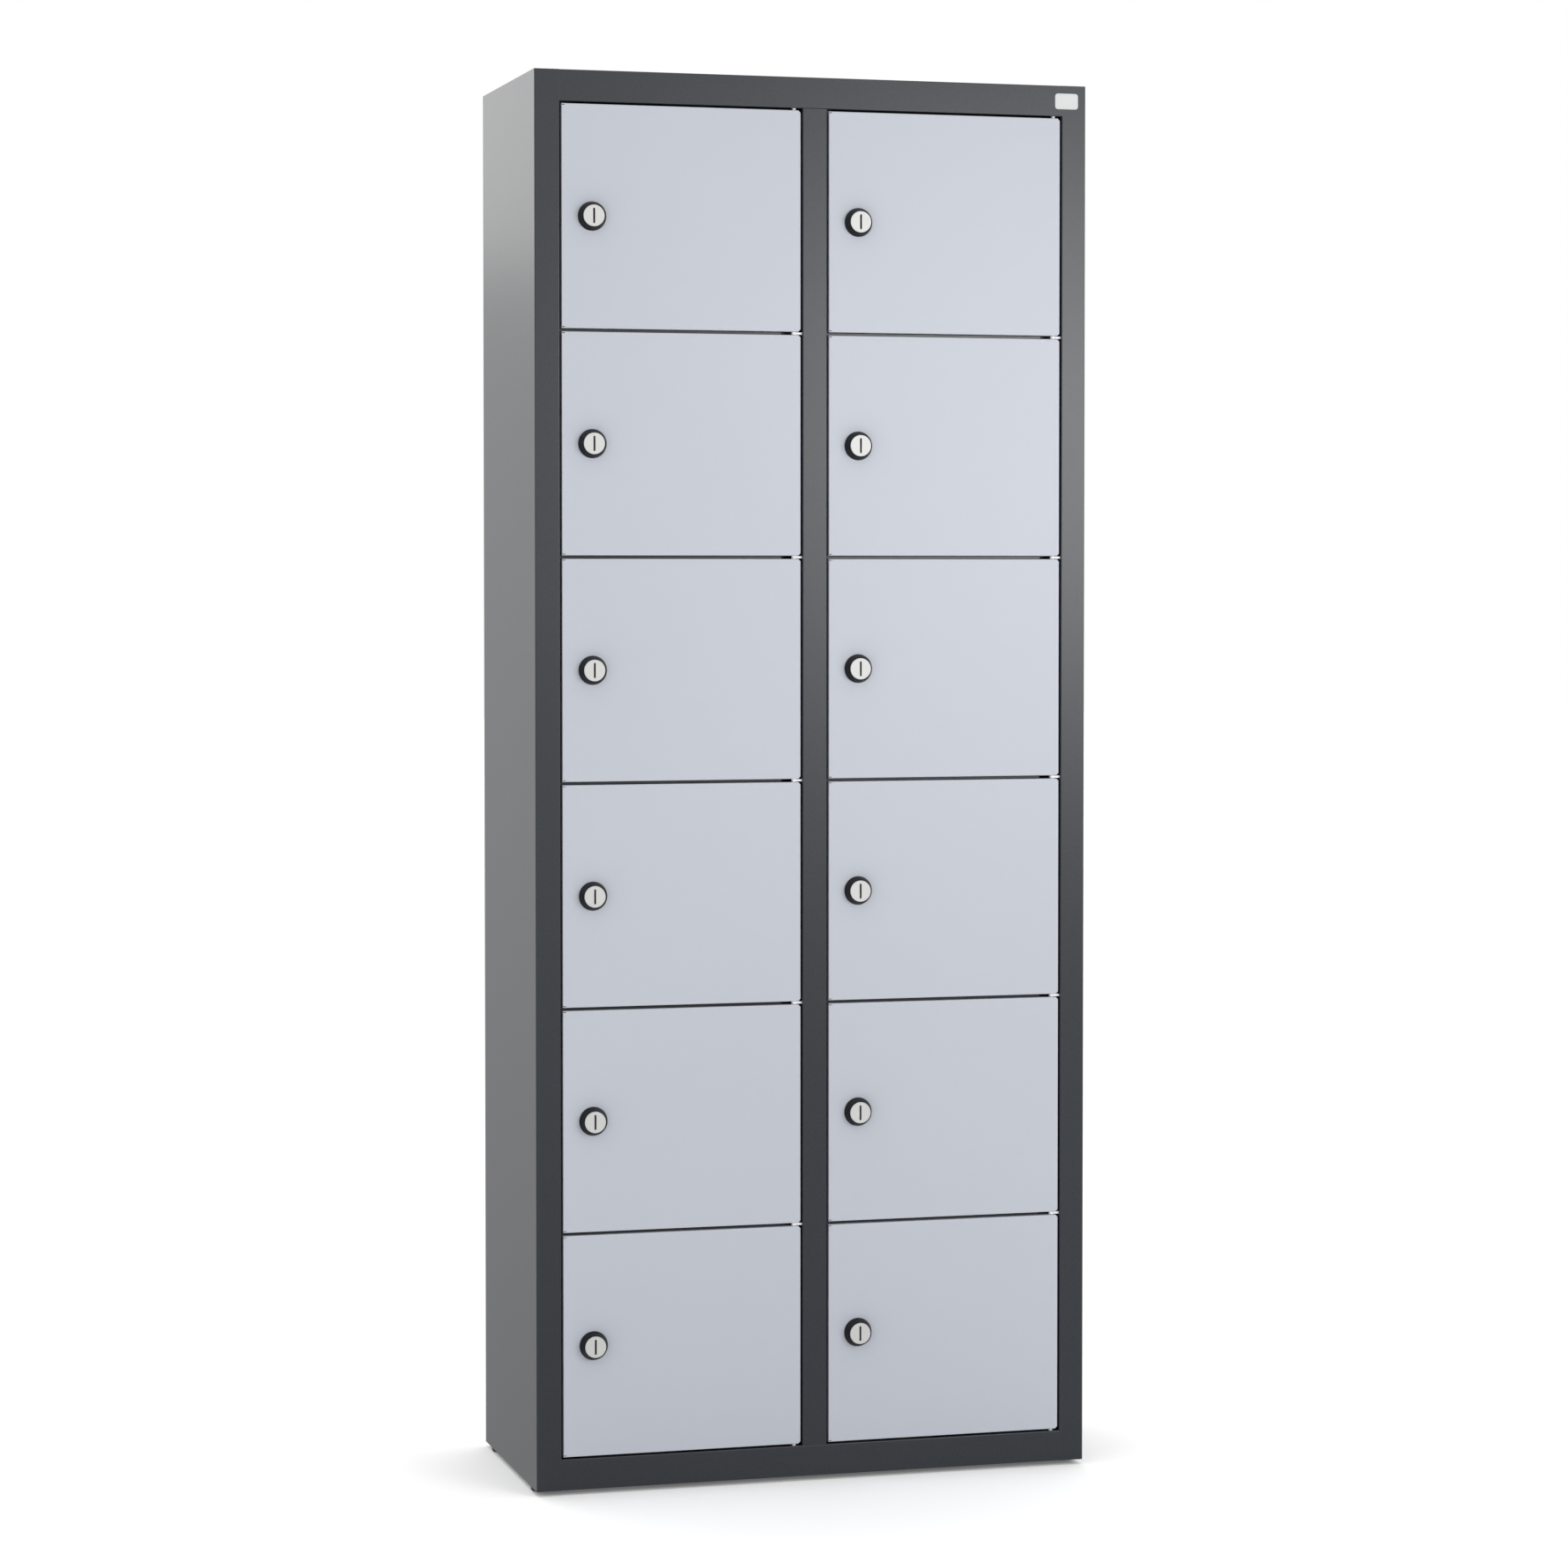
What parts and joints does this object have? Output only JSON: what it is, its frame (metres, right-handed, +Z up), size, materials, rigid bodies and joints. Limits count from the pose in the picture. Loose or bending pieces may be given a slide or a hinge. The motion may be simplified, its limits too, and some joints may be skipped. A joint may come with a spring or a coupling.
{
  "type": "parcel locker",
  "caption": "Tall free-standing steel locker with two columns of small hinged doors, each with a round cam lock, on levelling feet.",
  "frame": {"origin": "on the floor, at the middle of the footprint (locks included)", "axes": "+X to the right along the front, +Y from the front into the locker, +Z up; the doors face -Y"},
  "size_m": [0.795, 0.3634, 1.957],
  "materials": {
    "frame_paint": "anthracite powder coat, satin",
    "door_paint": "light blue-grey powder coat, satin",
    "black_plastic": "fine matt moulding",
    "lock_metal": "satin nickel plate",
    "foot_plastic": "matt moulding",
    "buffer_rubber": "soft matt",
    "white_nylon": "natural nylon, satin",
    "zinc_steel": "zinc plated",
    "plate_metal": "blank satin label plate"
  },
  "bodies": {
    "cabinet": {"back_panel": "frame_paint", "bottom_panel": "frame_paint", "centre_partition": "frame_paint", "centre_post": "frame_paint", "door_buffers": "buffer_rubber", "floor_shelf": "frame_paint", "foot_inserts": "zinc_steel", "hinge_brackets": "white_nylon", "hinge_bushes": "white_nylon", "hinge_pins": "zinc_steel", "left_side_panel": "frame_paint", "name_plate": "plate_metal", "right_side_panel": "frame_paint", "shelf_1": "frame_paint", "shelf_2": "frame_paint", "shelf_3": "frame_paint", "shelf_4": "frame_paint", "shelf_5": "frame_paint", "top_panel": "frame_paint"},
    "door_A1": {"door_A1": "door_paint", "door_A1_lock_housing": "black_plastic"},
    "door_A1_lock": {"door_A1_lock_cylinder": "lock_metal"},
    "door_A2": {"door_A2": "door_paint", "door_A2_lock_housing": "black_plastic"},
    "door_A2_lock": {"door_A2_lock_cylinder": "lock_metal"},
    "door_A3": {"door_A3": "door_paint", "door_A3_lock_housing": "black_plastic"},
    "door_A3_lock": {"door_A3_lock_cylinder": "lock_metal"},
    "door_A4": {"door_A4": "door_paint", "door_A4_lock_housing": "black_plastic"},
    "door_A4_lock": {"door_A4_lock_cylinder": "lock_metal"},
    "door_A5": {"door_A5": "door_paint", "door_A5_lock_housing": "black_plastic"},
    "door_A5_lock": {"door_A5_lock_cylinder": "lock_metal"},
    "door_A6": {"door_A6": "door_paint", "door_A6_lock_housing": "black_plastic"},
    "door_A6_lock": {"door_A6_lock_cylinder": "lock_metal"},
    "door_B1": {"door_B1": "door_paint", "door_B1_lock_housing": "black_plastic"},
    "door_B1_lock": {"door_B1_lock_cylinder": "lock_metal"},
    "door_B2": {"door_B2": "door_paint", "door_B2_lock_housing": "black_plastic"},
    "door_B2_lock": {"door_B2_lock_cylinder": "lock_metal"},
    "door_B3": {"door_B3": "door_paint", "door_B3_lock_housing": "black_plastic"},
    "door_B3_lock": {"door_B3_lock_cylinder": "lock_metal"},
    "door_B4": {"door_B4": "door_paint", "door_B4_lock_housing": "black_plastic"},
    "door_B4_lock": {"door_B4_lock_cylinder": "lock_metal"},
    "door_B5": {"door_B5": "door_paint", "door_B5_lock_housing": "black_plastic"},
    "door_B5_lock": {"door_B5_lock_cylinder": "lock_metal"},
    "door_B6": {"door_B6": "door_paint", "door_B6_lock_housing": "black_plastic"},
    "door_B6_lock": {"door_B6_lock_cylinder": "lock_metal"},
    "foot_front_left": {"foot_front_left": "foot_plastic"},
    "foot_front_right": {"foot_front_right": "foot_plastic"},
    "foot_back_left": {"foot_back_left": "foot_plastic"},
    "foot_back_right": {"foot_back_right": "foot_plastic"}
  },
  "joints": [
    {"name": "door_A1_hinge", "type": "hinge", "parent": "cabinet", "child": "door_A1", "pos_m": [-0.0285, -0.1613, 1.75804], "axis": [0, 0, 1], "range_deg": [0, 110]},
    {"name": "door_A1_lock_turn", "type": "hinge", "parent": "door_A1", "child": "door_A1_lock", "pos_m": [-0.3171, -0.16825, 1.75804], "axis": [0, 1, 0], "range_deg": [0, 90]},
    {"name": "door_A2_hinge", "type": "hinge", "parent": "cabinet", "child": "door_A2", "pos_m": [-0.0285, -0.1613, 1.44762], "axis": [0, 0, 1], "range_deg": [0, 110]},
    {"name": "door_A2_lock_turn", "type": "hinge", "parent": "door_A2", "child": "door_A2_lock", "pos_m": [-0.3171, -0.16825, 1.44762], "axis": [0, 1, 0], "range_deg": [0, 90]},
    {"name": "door_A3_hinge", "type": "hinge", "parent": "cabinet", "child": "door_A3", "pos_m": [-0.0285, -0.1613, 1.13721], "axis": [0, 0, 1], "range_deg": [0, 110]},
    {"name": "door_A3_lock_turn", "type": "hinge", "parent": "door_A3", "child": "door_A3_lock", "pos_m": [-0.3171, -0.16825, 1.13721], "axis": [0, 1, 0], "range_deg": [0, 90]},
    {"name": "door_A4_hinge", "type": "hinge", "parent": "cabinet", "child": "door_A4", "pos_m": [-0.0285, -0.1613, 0.82679], "axis": [0, 0, 1], "range_deg": [0, 110]},
    {"name": "door_A4_lock_turn", "type": "hinge", "parent": "door_A4", "child": "door_A4_lock", "pos_m": [-0.3171, -0.16825, 0.82679], "axis": [0, 1, 0], "range_deg": [0, 90]},
    {"name": "door_A5_hinge", "type": "hinge", "parent": "cabinet", "child": "door_A5", "pos_m": [-0.0285, -0.1613, 0.51638], "axis": [0, 0, 1], "range_deg": [0, 110]},
    {"name": "door_A5_lock_turn", "type": "hinge", "parent": "door_A5", "child": "door_A5_lock", "pos_m": [-0.3171, -0.16825, 0.51638], "axis": [0, 1, 0], "range_deg": [0, 90]},
    {"name": "door_A6_hinge", "type": "hinge", "parent": "cabinet", "child": "door_A6", "pos_m": [-0.0285, -0.1613, 0.20596], "axis": [0, 0, 1], "range_deg": [0, 110]},
    {"name": "door_A6_lock_turn", "type": "hinge", "parent": "door_A6", "child": "door_A6_lock", "pos_m": [-0.3171, -0.16825, 0.20596], "axis": [0, 1, 0], "range_deg": [0, 90]},
    {"name": "door_B1_hinge", "type": "hinge", "parent": "cabinet", "child": "door_B1", "pos_m": [0.3515, -0.1613, 1.75804], "axis": [0, 0, 1], "range_deg": [0, 110]},
    {"name": "door_B1_lock_turn", "type": "hinge", "parent": "door_B1", "child": "door_B1_lock", "pos_m": [0.0629, -0.16825, 1.75804], "axis": [0, 1, 0], "range_deg": [0, 90]},
    {"name": "door_B2_hinge", "type": "hinge", "parent": "cabinet", "child": "door_B2", "pos_m": [0.3515, -0.1613, 1.44762], "axis": [0, 0, 1], "range_deg": [0, 110]},
    {"name": "door_B2_lock_turn", "type": "hinge", "parent": "door_B2", "child": "door_B2_lock", "pos_m": [0.0629, -0.16825, 1.44762], "axis": [0, 1, 0], "range_deg": [0, 90]},
    {"name": "door_B3_hinge", "type": "hinge", "parent": "cabinet", "child": "door_B3", "pos_m": [0.3515, -0.1613, 1.13721], "axis": [0, 0, 1], "range_deg": [0, 110]},
    {"name": "door_B3_lock_turn", "type": "hinge", "parent": "door_B3", "child": "door_B3_lock", "pos_m": [0.0629, -0.16825, 1.13721], "axis": [0, 1, 0], "range_deg": [0, 90]},
    {"name": "door_B4_hinge", "type": "hinge", "parent": "cabinet", "child": "door_B4", "pos_m": [0.3515, -0.1613, 0.82679], "axis": [0, 0, 1], "range_deg": [0, 110]},
    {"name": "door_B4_lock_turn", "type": "hinge", "parent": "door_B4", "child": "door_B4_lock", "pos_m": [0.0629, -0.16825, 0.82679], "axis": [0, 1, 0], "range_deg": [0, 90]},
    {"name": "door_B5_hinge", "type": "hinge", "parent": "cabinet", "child": "door_B5", "pos_m": [0.3515, -0.1613, 0.51638], "axis": [0, 0, 1], "range_deg": [0, 110]},
    {"name": "door_B5_lock_turn", "type": "hinge", "parent": "door_B5", "child": "door_B5_lock", "pos_m": [0.0629, -0.16825, 0.51638], "axis": [0, 1, 0], "range_deg": [0, 90]},
    {"name": "door_B6_hinge", "type": "hinge", "parent": "cabinet", "child": "door_B6", "pos_m": [0.3515, -0.1613, 0.20596], "axis": [0, 0, 1], "range_deg": [0, 110]},
    {"name": "door_B6_lock_turn", "type": "hinge", "parent": "door_B6", "child": "door_B6_lock", "pos_m": [0.0629, -0.16825, 0.20596], "axis": [0, 1, 0], "range_deg": [0, 90]},
    {"name": "foot_front_left_screw", "type": "slide", "parent": "cabinet", "child": "foot_front_left", "axis": [0, 0, -1], "range_m": [0, 0.015]},
    {"name": "foot_front_right_screw", "type": "slide", "parent": "cabinet", "child": "foot_front_right", "axis": [0, 0, -1], "range_m": [0, 0.015]},
    {"name": "foot_back_left_screw", "type": "slide", "parent": "cabinet", "child": "foot_back_left", "axis": [0, 0, -1], "range_m": [0, 0.015]},
    {"name": "foot_back_right_screw", "type": "slide", "parent": "cabinet", "child": "foot_back_right", "axis": [0, 0, -1], "range_m": [0, 0.015]}
  ]
}
